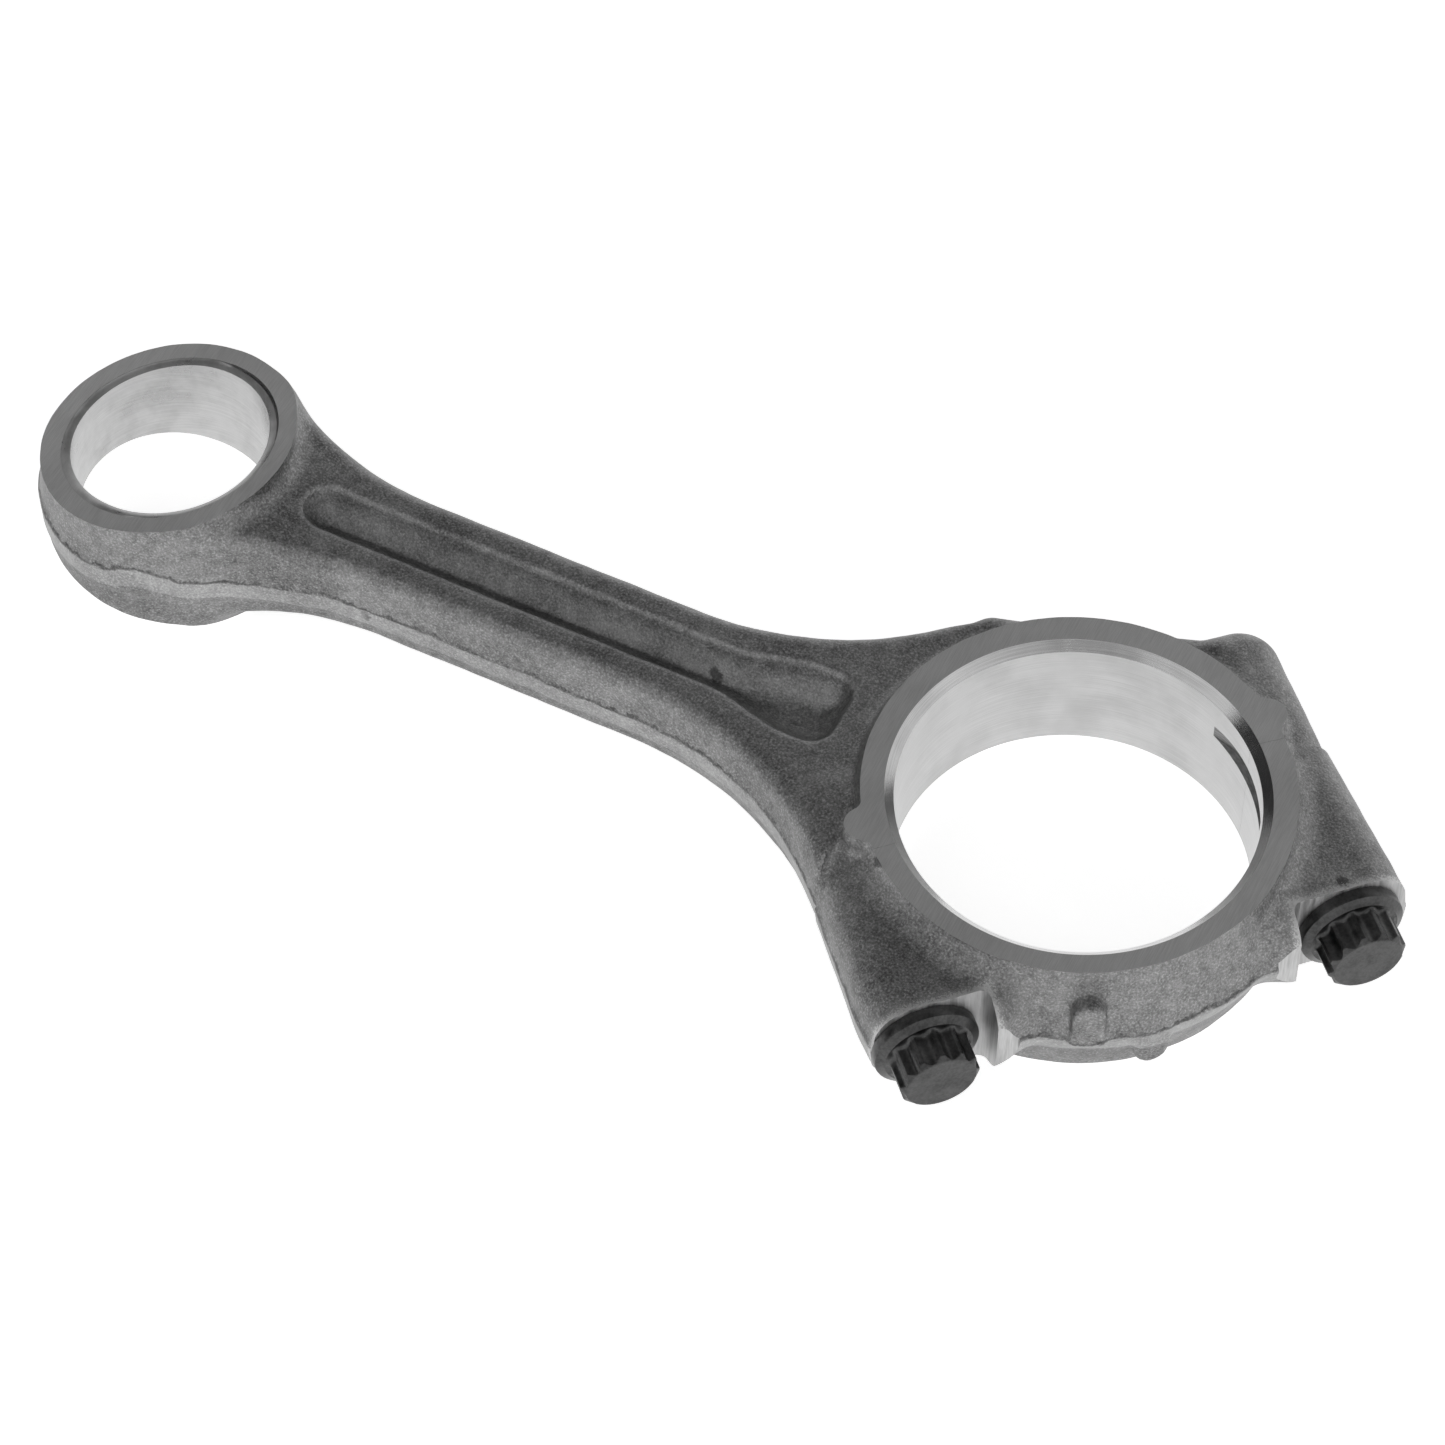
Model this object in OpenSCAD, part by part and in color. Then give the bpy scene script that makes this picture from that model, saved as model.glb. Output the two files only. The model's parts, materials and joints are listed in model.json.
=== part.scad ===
// Connecting rod with an oblique, fracture-split big end, a wedge-shaped small
// end with a pressed-in bush, and two twelve-point flange bolts.
//
// Frame: the origin is the centre of the big-end bore at mid width. +Z runs
// along the bore, and the small end lies towards -X, so the rod lies flat.

/* [Main dimensions] */
// Distance between the big-end and small-end bore centres
centre_distance = 208; // [200:1:216]
// Diameter of the big-end housing bore
big_bore_d = 73; // [72:0.5:74]
// Width of the big end over its two thrust faces
big_width = 32; // [31:0.5:34]
// Outer diameter of the thrust faces
thrust_d = 88; // [86:0.5:90]
// Diameter of the bore in the small-end bush
pin_bore_d = 42; // [40:0.5:43]

/* [Joint] */
// Angle between the cap's joint face and the rod's axis
joint_angle = 45; // [42:1:48]
// Distance between the axes of the two cap bolts
bolt_spacing = 89; // [88:0.5:90]
// Distance from the joint face to the bolt seats on the cap
seat_height = 35; // [34:0.5:36]
// Nominal diameter of the bolt thread
thread_d = 12; // [11:1:12]

/* [Small end] */
// Thickness of the small end at its bore's axis
small_thickness = 26; // [25:0.5:28]
// Slope of each small-end face, thicker towards the shank
small_slope = 10; // [6:1:11]
// Outer diameter of the small end
small_d = 56; // [54:0.5:58]
// Wall thickness of the bush
bush_wall = 2; // [1.5:0.25:2.5]

/* [Shank] */
// Width of the shank across its two flanges
shank_width = 25.5; // [24:0.5:28]
// Thickness of the shank over its flanges
shank_thickness = 21; // [20:0.5:22]
// Thickness of the web between the two pockets
web_thickness = 8; // [6:0.5:10]
// Width of the pockets
pocket_width = 11; // [9:0.5:12]

/* [Hidden] */
$fn = 96;
eps = 0.01;

bore_r = big_bore_d / 2;
half_width = big_width / 2;
thrust_r = thrust_d / 2;
bore_chamfer = 1.9;
small_x = -centre_distance;
small_r = small_d / 2;
housing_r = pin_bore_d / 2 + bush_wall;
slope = tan(small_slope);
far_reach = 90;

// The forging's collar round the big-end bore, its arms and its bolt bosses.
collar_r = 47.7;
arm_half_thickness = 11.5;
bolt_u = bolt_spacing / 2;
boss_reach = 54.3;
boss_end = 36;
boss_corner_r = 8;
cap_boss_r1 = 10.4;
cap_boss_r2 = 12.2;
cap_web_half = 9.3;
cap_web_below = 6.5;

// Blends between the shank and its two ends.
shank_half = shank_width / 2;
small_fillet_r = 60;
big_fillet_r = 65;
big_fillet_x = -88;

// Pocket outline, from the small end to the fan at the big end.
pocket_r = pocket_width / 2;
pocket_start_x = -172.5;
pocket_fan_x = -78;
pocket_wide_x = -61.5;
pocket_wide_half = 9;
pocket_corner_r = 4.8;
pocket_end_x = -51.5;

// Bolts and their holes. The thread is plain, with running clearance.
thread_r = thread_d / 2;
thread_clearance = 0.05;
thread_depth = 32;
bolt_below_joint = 28;
neck_r = thread_r - 0.6;
neck_below_joint = 3;
clearance_hole_r = thread_r + 0.4;
flange_r = 10.9;
flange_rim = 2.4;
flange_cone = 1.1;
head_top_r = 8.2;
head_height = 11;
head_chamfer = 1.2;

// Distance from the middle of the cap to the wall beside each bolt seat.
seat_wall_u = 31.5;

// How far the bush's ends lie below the wedge, and how much less they slope.
bush_lower_tip = 0.05;
bush_lower_middle = 0.2;
bush_turn = 2.75;

// Notch for the bearing shells' tangs, cut by a disc across the joint.
notch_depth = 1.5;
notch_cutter_r = 22.9;
notch_low_z = 4;
notch_high_z = 8.4;

// Small pads level with the thrust faces, beside the joint on the rod.
pad_u = 42;
pad_w = 6.2;
pad_r = 4.1;

// Lugs on the cap's belly, one on each half of the forging.
lug_width = 7;
lug_reach = 48.4;
lug_height = 11;
upper_lug_angle = -62.5;
lower_lug_angle = -45;

// Turns the children so that +X runs along the joint face and -Y points from
// the rod towards the cap.
module in_joint_frame() {
    rotate([0, 0, joint_angle])
        children();
}

// A point or solid on one bolt axis: +Z of the children points towards the cap.
module on_bolt_axis(side) {
    in_joint_frame()
        translate([side * bolt_u, 0, 0])
            rotate([90, 0, 0])
                children();
}

// Half space on the rod's side (side = 1) or the cap's side (side = -1).
module joint_half(side) {
    in_joint_frame()
        translate([-far_reach, side > 0 ? 0 : -far_reach, -far_reach])
            cube([2 * far_reach, far_reach, 2 * far_reach]);
}

module both_sides() {
    children();
    mirror([0, 1, 0])
        children();
}

module both_faces() {
    children();
    mirror([0, 0, 1])
        children();
}

// Area between the shank's edge and a large circle that blends it into an end.
module flare_2d(from_x, to_x, reach, circle_x, circle_r) {
    both_sides()
        difference() {
            polygon([[from_x, 0], [to_x, 0], [to_x, reach], [from_x, reach]]);
            translate([circle_x, shank_half + circle_r])
                circle(r = circle_r, $fn = 180);
        }
}

// Outline of the shank with its flares into both ends.
module shank_2d() {
    reach = small_r + small_fillet_r;
    rise = shank_half + small_fillet_r;
    blend_x = small_x + sqrt(reach * reach - rise * rise);
    touch_x = small_x + (blend_x - small_x) * small_r / reach;
    touch_y = rise * small_r / reach;
    translate([blend_x, -shank_half])
        square([big_fillet_x - blend_x, shank_width]);
    flare_2d(touch_x, blend_x, touch_y, blend_x, small_fillet_r);
    polygon([[small_x, 0], [touch_x, touch_y], [touch_x, -touch_y]]);
    flare_2d(big_fillet_x, -38, 35, big_fillet_x, big_fillet_r);
}

// Outline of the two arms that carry the bolt bosses on the rod's side.
module arms_2d() {
    corner = boss_reach - boss_corner_r;
    rotate(joint_angle) {
        polygon([
            [-boss_reach, 0],
            [boss_reach, 0],
            [boss_reach, boss_end - boss_corner_r],
            [corner, boss_end],
            [39, boss_end],
            [2, 50.5],
            [-20, 50.5],
            [-boss_reach, 24]
        ]);
        translate([corner, boss_end - boss_corner_r])
            circle(r = boss_corner_r);
    }
}

// Collar of the forging round the big-end bore, tapered to each thrust face.
module collar() {
    both_faces()
        cylinder(h = half_width, r1 = collar_r, r2 = thrust_r, $fn = 180);
}

// Everything that the big-end bore removes: the bore and its two chamfers.
module big_bore_cut() {
    cylinder(h = 2 * far_reach, r = bore_r, center = true, $fn = 180);
    both_faces()
        translate([0, 0, half_width - bore_chamfer])
            cylinder(h = bore_chamfer + eps, r1 = bore_r, r2 = bore_r + bore_chamfer + eps, $fn = 180);
}

module tang_notch_cut() {
    in_joint_frame()
        translate([bore_r + notch_depth - notch_cutter_r, 0, notch_low_z])
            cylinder(h = notch_high_z - notch_low_z, r = notch_cutter_r);
}

// Wedge between the two sloping faces of the small end. The slope is taken
// about the bore's axis, and lower shifts both faces inwards.
module wedge(half_thickness, face_slope) {
    near_x = -2 * small_r;
    far_x = 2 * small_r;
    near_z = half_thickness + face_slope * near_x;
    far_z = half_thickness + face_slope * far_x;
    translate([small_x, 0, 0])
        rotate([90, 0, 0])
            linear_extrude(height = 4 * small_r, center = true)
                polygon([[near_x, -near_z], [far_x, -far_z], [far_x, far_z], [near_x, near_z]]);
}

module small_end_ring() {
    intersection() {
        translate([small_x, 0, 0])
            cylinder(h = 2 * far_reach, r = small_r, center = true, $fn = 180);
        wedge(small_thickness / 2, slope);
    }
}

// One forged pocket in the shank, open upwards.
module pocket_cut() {
    corner_y = pocket_wide_half - pocket_corner_r;
    translate([0, 0, web_thickness / 2])
        linear_extrude(height = far_reach) {
            translate([pocket_start_x, 0])
                circle(r = pocket_r);
            translate([pocket_start_x, -pocket_r])
                square([pocket_fan_x - pocket_start_x, pocket_width]);
            polygon([
                [pocket_fan_x - eps, -pocket_r],
                [pocket_wide_x, -pocket_wide_half],
                [pocket_end_x - pocket_corner_r, -pocket_wide_half],
                [pocket_end_x, -corner_y],
                [pocket_end_x, corner_y],
                [pocket_end_x - pocket_corner_r, pocket_wide_half],
                [pocket_wide_x, pocket_wide_half],
                [pocket_fan_x - eps, pocket_r]
            ]);
            both_sides()
                translate([pocket_end_x - pocket_corner_r, corner_y])
                    circle(r = pocket_corner_r);
        }
}

module joint_pads() {
    in_joint_frame()
        for (side = [-1, 1])
            translate([side * pad_u, pad_w, 0])
                cylinder(h = big_width, r = pad_r, center = true);
}

module threaded_hole_cut(side) {
    on_bolt_axis(side)
        translate([0, 0, -thread_depth]) {
            cylinder(h = thread_depth + eps, r = thread_r + thread_clearance);
            translate([0, 0, -thread_r / 2])
                cylinder(h = thread_r / 2 + eps, r1 = 0.5, r2 = thread_r);
        }
}

module rod_body() {
    color([0.36, 0.36, 0.37])
        difference() {
            union() {
                linear_extrude(height = shank_thickness, center = true)
                    shank_2d();
                small_end_ring();
                intersection() {
                    union() {
                        linear_extrude(height = 2 * arm_half_thickness, center = true)
                            arms_2d();
                        collar();
                        joint_pads();
                    }
                    joint_half(1);
                }
            }
            big_bore_cut();
            tang_notch_cut();
            both_faces()
                pocket_cut();
            threaded_hole_cut(-1);
            threaded_hole_cut(1);
            translate([small_x, 0, 0])
                cylinder(h = 2 * far_reach, r = housing_r, center = true);
        }
}

// The bush's ends are level with the wedge, and sink below it towards the shank.
module small_end_bush() {
    color([0.62, 0.62, 0.61])
        intersection() {
            translate([small_x, 0, 0])
                difference() {
                    cylinder(h = 2 * far_reach, r = housing_r, center = true);
                    cylinder(h = 3 * far_reach, r = pin_bore_d / 2, center = true);
                }
            wedge(small_thickness / 2 - bush_lower_tip, slope);
            wedge(small_thickness / 2 - bush_lower_middle, tan(small_slope - bush_turn));
        }
}

module lug(lug_angle) {
    rotate([0, 0, lug_angle])
        translate([bore_r + 2, -lug_width / 2, 0])
            cube([lug_reach - bore_r - 2, lug_width, lug_height]);
}

module cap_boss(side) {
    on_bolt_axis(side)
        cylinder(h = seat_height, r1 = cap_boss_r1, r2 = cap_boss_r2);
}

// Metal between each bolt boss and the collar.
module cap_web() {
    in_joint_frame()
        translate([-bolt_u, -seat_height - cap_web_below, -cap_web_half])
            cube([bolt_spacing, seat_height + cap_web_below, 2 * cap_web_half]);
}

module bolt_hole_and_seat_cut(side) {
    on_bolt_axis(side)
        translate([0, 0, -eps])
            cylinder(h = seat_height + 2 * eps, r = clearance_hole_r);
    in_joint_frame()
        translate([side > 0 ? seat_wall_u : -seat_wall_u - far_reach, -seat_height - far_reach, -far_reach])
            cube([far_reach, far_reach, 2 * far_reach]);
}

module big_end_cap() {
    color([0.38, 0.38, 0.39])
        difference() {
            intersection() {
                union() {
                    collar();
                    cap_boss(-1);
                    cap_boss(1);
                    intersection() {
                        cap_web();
                        cylinder(h = big_width, r = bolt_u + 8, center = true);
                    }
                    lug(upper_lug_angle);
                    mirror([0, 0, 1])
                        lug(lower_lug_angle);
                }
                joint_half(-1);
            }
            big_bore_cut();
            tang_notch_cut();
            bolt_hole_and_seat_cut(-1);
            bolt_hole_and_seat_cut(1);
        }
}

// Twelve-point prism: two hexagons, one turned by 30 degrees.
module twelve_point_prism(corner_r, height) {
    linear_extrude(height = height)
        for (turn = [0, 30])
            rotate(turn)
                circle(r = corner_r, $fn = 6);
}

module cap_bolt(side) {
    color([0.09, 0.09, 0.1])
        on_bolt_axis(side) {
            translate([0, 0, seat_height]) {
                cylinder(h = flange_rim, r = flange_r);
                translate([0, 0, flange_rim])
                    cylinder(h = flange_cone, r1 = flange_r - 0.4, r2 = head_top_r + 0.6);
                intersection() {
                    twelve_point_prism(head_top_r, head_height);
                    cylinder(
                        h = head_height,
                        r1 = head_top_r - head_chamfer + head_height,
                        r2 = head_top_r - head_chamfer
                    );
                }
            }
            translate([0, 0, -neck_below_joint])
                cylinder(h = seat_height + neck_below_joint + eps, r = neck_r);
            translate([0, 0, 1 - bolt_below_joint])
                cylinder(h = bolt_below_joint - 1 - neck_below_joint, r = thread_r);
            translate([0, 0, -bolt_below_joint])
                cylinder(h = 1, r1 = thread_r - 1, r2 = thread_r);
        }
}

module cap_bolt_toe() {
    cap_bolt(1);
}

module cap_bolt_heel() {
    cap_bolt(-1);
}

rod_body();
small_end_bush();
big_end_cap();
cap_bolt_toe();
cap_bolt_heel();
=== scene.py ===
"""The connecting rod's looks: a drop-forged steel skin, machined faces, and detailed bolts and bush."""
import json
import math

import bmesh
import bpy
import numpy as np
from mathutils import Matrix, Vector


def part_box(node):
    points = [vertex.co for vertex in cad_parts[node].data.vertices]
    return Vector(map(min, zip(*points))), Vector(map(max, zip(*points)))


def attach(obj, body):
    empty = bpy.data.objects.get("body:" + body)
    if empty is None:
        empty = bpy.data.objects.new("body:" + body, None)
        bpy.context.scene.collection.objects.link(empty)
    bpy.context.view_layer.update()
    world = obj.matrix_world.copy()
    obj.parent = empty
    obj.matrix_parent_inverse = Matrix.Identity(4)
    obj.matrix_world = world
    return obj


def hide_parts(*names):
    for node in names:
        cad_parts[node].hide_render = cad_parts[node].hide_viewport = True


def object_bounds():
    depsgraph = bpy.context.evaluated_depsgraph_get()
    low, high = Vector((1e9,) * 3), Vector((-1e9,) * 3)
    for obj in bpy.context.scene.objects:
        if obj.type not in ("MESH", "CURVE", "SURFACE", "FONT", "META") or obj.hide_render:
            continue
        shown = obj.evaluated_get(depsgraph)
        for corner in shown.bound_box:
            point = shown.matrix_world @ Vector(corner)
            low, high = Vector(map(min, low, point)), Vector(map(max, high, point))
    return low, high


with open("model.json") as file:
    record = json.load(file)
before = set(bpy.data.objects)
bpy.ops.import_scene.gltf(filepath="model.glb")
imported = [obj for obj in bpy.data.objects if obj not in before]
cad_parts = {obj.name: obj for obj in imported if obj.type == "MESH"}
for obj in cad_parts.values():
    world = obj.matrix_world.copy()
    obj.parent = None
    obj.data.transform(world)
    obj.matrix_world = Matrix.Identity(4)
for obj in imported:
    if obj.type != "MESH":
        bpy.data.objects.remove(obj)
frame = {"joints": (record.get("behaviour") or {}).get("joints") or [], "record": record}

CAD_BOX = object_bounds()
MM = 0.001
RECORD = frame["record"]
MOUNTS = {mount["name"]: mount for mount in RECORD["mounts"]}

# ---------------------------------------------------------------- camera

CAMERA_AZIMUTH = math.radians(26.81)
CAMERA_ELEVATION = math.radians(53.46)
CAMERA_DEPTH = 1.0317      # from the lens to the big-end bore's centre, along the view
BORE_RIGHT_OF_MIDDLE = 0.0703
BORE_BELOW_MIDDLE = 0.0235
FOCAL_LENGTH_MM = 128.65
SENSOR_MM = 36.0


def add_camera():
    """A camera at the photograph's angle, level, with its place stated relative to the big-end bore."""
    cos_e, sin_e = math.cos(CAMERA_ELEVATION), math.sin(CAMERA_ELEVATION)
    cos_a, sin_a = math.cos(CAMERA_AZIMUTH), math.sin(CAMERA_AZIMUTH)
    back = Vector((sin_a * cos_e, -cos_a * cos_e, sin_e))
    right = Vector((cos_a, sin_a, 0.0))
    up = back.cross(right)
    data = bpy.data.cameras.new("camera")
    data.lens = FOCAL_LENGTH_MM
    data.sensor_width = SENSOR_MM
    data.clip_start = 0.01
    data.clip_end = 20.0
    camera = bpy.data.objects.new("camera", data)
    camera.location = CAMERA_DEPTH * back - BORE_RIGHT_OF_MIDDLE * right + BORE_BELOW_MIDDLE * up
    camera.rotation_euler = (-back).to_track_quat("-Z", "Y").to_euler()
    bpy.context.scene.collection.objects.link(camera)
    bpy.context.scene.camera = camera


add_camera()

# ---------------------------------------------------------------- dimensions, in millimetres

BORE_R = MOUNTS["big_end_bore"]["dims"]["r_mm"]
PIN_BORE_R = MOUNTS["small_end_bore"]["dims"]["r_mm"]
HALF_WIDTH = MOUNTS["thrust_face_upper"]["pos_m"][2] / MM
BORE_CHAMFER = HALF_WIDTH - MOUNTS["big_end_bore"]["dims"]["length_mm"] / 2
SMALL_X = MOUNTS["small_end_bore"]["pos_m"][0] / MM
CAP_AXIS = next(j for j in frame["joints"] if j["name"] == "cap_lift")["axis"]
SMALL_R = SMALL_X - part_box("rod_body")[0][0] / MM

# The big end. The joint's own coordinates are u, along the joint face, and w, towards the cap.
COLLAR_R = 48.2                 # the forging's collar at mid width
COLLAR_FACE_R = 43.3            # the same collar at a thrust face
COLLAR_SHIFT = (-0.19, 0.72)    # the forging sits a little off the machined bore
STOCK = 2.0                     # metal that the machining takes off each face
EDGE_R = 1.0                    # the forging's sharpest rounded edges
DRAFT = 0.09                    # how fast the forged sides lean inwards
DEEP_INSIDE = -20.0             # a distance so far inside that it changes no fillet
ROD_COLLAR_FILLET = 2.5
CAP_COLLAR_FILLET = 4.5
PAST_JOINT = 4.0                # how far each forging runs past the joint before it is parted
JOINT_GAP = 0.04
BOLT_U = 44.5
SEAT_W = 35.0

# The arms that carry the bolt bosses
ARM_TOP = 11.2
ARM_STEP = 0.3                  # the cap's bosses are this much thicker, and the rod's this much thinner
LEDGE = 0.5                     # the rod's arms sink by this much just before the joint
LEDGE_W = (-7.0, -2.0)
BACK_NORMAL = (0.430, -0.903)   # the arms' straight back, as its normal in u and w, and its distance
BACK_REACH = 47.7
BACK_FROM_X = -70.0             # the back bounds the shank only past this place
BACK_R = 4.0
WEB_MIDDLE_U = 22.0
WEB_HALF_LENGTH = 24.0
WEB_END_R = 3.0
TOE_BOSS = (44.4, -12.5, 10.2, 23.0)    # its middle in u and w, and half its width and length
HEEL_BOSS = (-43.6, -8.5, 10.0, 19.0)
ROD_BOSS_R = 8.0
PADS = ((42.9, -6.6, 3.7), (-42.6, -6.3, 4.0))    # the middle in u and w, and the radius, of each pad
PAD_DRAFT = 0.05
PAD_FILLET = 1.5
BOSS_FILLET = 2.0               # from a boss to the web beside it
ARM_FILLET = 2.5                # from the arms to the shank

# The cap
CAP_DEPTH = 33.0                # over this depth the bosses grow outwards
TOE_OUTSIDE = (54.9, 1.8)       # how far out the toe's boss reaches at the joint, and what it gains
HEEL_OUTSIDE = (54.4, 1.2)
HEEL_TUCK = 0.7                 # the heel's boss draws back in beside its seat
HEEL_TUCK_W = (26.0, 36.0)
CAP_BOSS_INNER = 24.0
CAP_BOSS_HALF = (16.0, 28.5)
CAP_BOSS_W = 14.0
CAP_BOSS_R = 7.5
LUG_ANGLES = ((-62.5, 1), (-46.0, -1))    # in degrees, and whether the lug is above or below mid width
LUG_HALF = 3.4
LUG_TOP = 8.0                   # above this height its outline is a half circle
LUG_PAST_MIDDLE = 1.0
LUG_ROOT = 40.0
LUG_FILLET = 1.2
LUG_REACH = 47.9
LUG_UPPER_GAIN = 0.6            # the upper lug reaches out further by this, and the lower one less

# The small end
SMALL_HALF = 13.0
SMALL_SLOPE = math.tan(math.radians(10.0))
SMALL_STOCK = 2.5
SMALL_SWELL = 0.1
SMALL_DRAFT = 0.075
SMALL_SHIFT = -0.4              # the forging sits a little off the pin bore
DIE_MISMATCH = 0.35             # its upper half lies this far one way, and its lower half the other
SMALL_FILLET = 3.5
HOUSING_R = PIN_BORE_R + 2.0

# The shank. Each flare has the place where it starts, its radius, and how far it runs.
SHANK_HALF = 12.9
SHANK_TOP = 10.6
SHANK_EDGE = 3.4
SHANK_FROM_X = SMALL_X + 6
SHANK_TO_X = (-30.0, -40.0)     # on the toe's side and on the heel's side
SMALL_FLARE = (-150.0, 88.0, 42.0)
THICK_FLARE = (-163.0, 75.0, 27.0)
BIG_FLARE_UPPER = (-89.5, 66.0)         # towards the toe
BIG_FLARE_LOWER = (-94.0, 76.0)         # towards the heel
BIG_FLARE_REACH = 54.0
POCKET_HALF = 5.5
POCKET_FROM_X = -169.6
POCKET_FAN_X = -79.0            # here the pocket starts to widen
POCKET_FAN_LENGTH = 18.0
POCKET_GAIN = 3.6
POCKET_TO_X = -51.5
POCKET_DRAFT = 0.5
POCKET_FLOOR_R = 4.6
WEB_HALF = 4.0                  # half the metal left between the two pockets

# The forged surface
GRID_MM = 0.8
ROD_BOX = ((SMALL_X - SMALL_R - 4, -72, -21), (52, 72, 21))    # the corners of a box round each forging
CAP_BOX = ((-48, -72, -21), (72, 48, 21))
FLASH_PROUD = 0.35              # how far the trimmed flash band stands out
FLASH_FOOT = (-6.5, -4.5)       # heights between which its lower edge fades
FLASH_TOP = 0.5                 # the height of its upper edge
FLASH_WANDER = ((0.5, 9), (0.25, 3.1))            # height and grain of that edge's wander
FLASH_CLIMB = 3.2               # how far the edge climbs beside the small end
FLASH_CLIMB_X = SMALL_X + 7
FLASH_CLIMB_LENGTH = 7.0
SKIN_WAVES = ((0.10, 7.0), (0.06, 2.7))           # height and grain of the skin's unevenness
FRACTURE_WAVES = ((0.35, 0, 11), (0.18, 5, 3.3), (0.1, 9, 1.3))    # height, sampling level and grain

# Machined details of the big end
NOTCH_R = 22.9
NOTCH_DEPTH = 1.5
NOTCH_FLANK = 1.6
NOTCH_HEIGHTS = (3.9, 4.7, 7.7, 8.5)
SEAT_WALL_U = 31.5
SEAT_FILLET = 2.0
STEP_W = 41.5                   # the seat's wall ends here in a step
STEP_U = 27.0
CLEARANCE_R = 6.4
FAR_OUT = 80.0                  # cutters reach this far, past everything

# Bolts and threads
THREAD_R = 5.95
THREAD_ROOT_R = 5.15
THREAD_PITCH = 1.25
THREAD_TOP = -3.0
HOLE_DEPTH = 31.0
HOLE_PLAY = 0.07
BOLT_TIP = -28.0
BOLT_TIP_R = 4.6
NECK_R = 5.4
FLANGE_R = 10.8
FLANGE_TOP = 3.5
FLANGE_TOP_R = 9.1
HEAD_POINT_R = 8.2
HEAD_VALLEY = 0.9
HEAD_FOOT = 0.9                 # height of the fillet from the flange to the drive
HEAD_CHAMFER_R = 7.25
HEAD_END = SEAT_W + 10.7

# The bush. Its own end faces are flatter than the wedge, so they sink below it towards the shank.
BUSH_HALF = 12.8
BUSH_SLOPE = math.tan(math.radians(7.25))
BUSH_PLAY = 0.02


def toward_cap(x, y):
    """The joint's own coordinates: u along the joint face, w from the rod towards the cap."""
    return x * -CAP_AXIS[1] + y * CAP_AXIS[0], x * CAP_AXIS[0] + y * CAP_AXIS[1]


# ---------------------------------------------------------------- distance fields

def union(a, b, r):
    """Union of two distance fields with a round fillet of radius r."""
    near = np.sqrt(np.maximum(r - a, 0) ** 2 + np.maximum(r - b, 0) ** 2)
    return np.maximum(np.minimum(a, b), r) - near


def common(a, b, r):
    """Intersection with a rounded edge of radius r."""
    near = np.sqrt(np.maximum(r + a, 0) ** 2 + np.maximum(r + b, 0) ** 2)
    return np.minimum(np.maximum(a, b), -r) + near


def ramp(x, low, high):
    """Smooth step from 0 at low to 1 at high."""
    t = np.clip((x - low) / (high - low), 0, 1)
    return t * t * (3 - 2 * t)


def flare(distance, radius, reach):
    """How far a circular flare has risen at a distance past its start, and its slope there."""
    d = np.clip(distance, 0, reach)
    root = np.sqrt(radius * radius - d * d)
    return radius - root, d / root


def drafted_block(a, b, c, half, r):
    """A block about the origin of a, b and c, rounded to r, whose sides lean inwards away from c = 0."""
    lean = DRAFT * np.abs(c)
    q = [np.abs(a) - half[0] + lean + r, np.abs(b) - half[1] + lean + r, np.abs(c) - half[2] + r]
    outside = np.sqrt(sum(np.maximum(v, 0) ** 2 for v in q))
    return outside + np.minimum(np.maximum(np.maximum(q[0], q[1]), q[2]), 0) - r


def shank_field(x, y, z):
    """The shank, which widens towards both ends and thickens towards the small end."""
    small, small_slope = flare(SMALL_FLARE[0] - x, *SMALL_FLARE[1:])
    start, radius = (np.where(y > 0, a, b) for a, b in zip(BIG_FLARE_UPPER, BIG_FLARE_LOWER))
    big, big_slope = flare(x - start, radius, BIG_FLARE_REACH)
    lean = 1 / np.sqrt(1 + (small_slope + big_slope) ** 2)
    side = (np.abs(y) - SHANK_HALF - small - big + DRAFT * np.abs(z)) * lean
    rise, rise_slope = flare(THICK_FLARE[0] - x, *THICK_FLARE[1:])
    top = (np.abs(z) - SHANK_TOP - rise) / np.sqrt(1 + rise_slope ** 2)
    ends = np.maximum(x - np.where(y > 0, *SHANK_TO_X), SHANK_FROM_X - x)
    return np.maximum(common(side, top, SHANK_EDGE), ends)


def pocket_field(x, y, z):
    """The forged pocket in each face of the shank: a slot that fans out at the big end."""
    half = POCKET_HALF + POCKET_GAIN * ramp(x, POCKET_FAN_X, POCKET_FAN_X + POCKET_FAN_LENGTH)
    slot = common(np.abs(y) - half, x - POCKET_TO_X, POCKET_HALF)
    round_end = np.hypot(x - POCKET_FROM_X, y) - POCKET_HALF
    outline = np.where(x < POCKET_FROM_X, round_end, slot)
    walls = outline + POCKET_DRAFT * np.maximum(SHANK_TOP - np.abs(z), 0)
    return common(walls, WEB_HALF - np.abs(z), POCKET_FLOOR_R)


def small_end_field(x, y, z):
    """The small end's forging, a drafted disc with wedge faces, whose two halves don't quite line up."""
    shift = DIE_MISMATCH * np.tanh(z / 3) + SMALL_SHIFT
    side = np.hypot(x - SMALL_X, y - shift) - SMALL_R - SMALL_SWELL + SMALL_DRAFT * np.abs(z)
    top = np.abs(z) - SMALL_HALF - SMALL_STOCK - SMALL_SLOPE * (x - SMALL_X)
    return common(side, top, EDGE_R)


def collar_field(x, y, z):
    """The ring of metal round the big-end bore, which narrows towards both thrust faces."""
    slope = (COLLAR_R - COLLAR_FACE_R) / HALF_WIDTH
    side = np.hypot(x - COLLAR_SHIFT[0], y - COLLAR_SHIFT[1]) - COLLAR_R + slope * np.abs(z)
    return common(side / math.hypot(1, slope), np.abs(z) - HALF_WIDTH - STOCK, EDGE_R)


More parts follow.
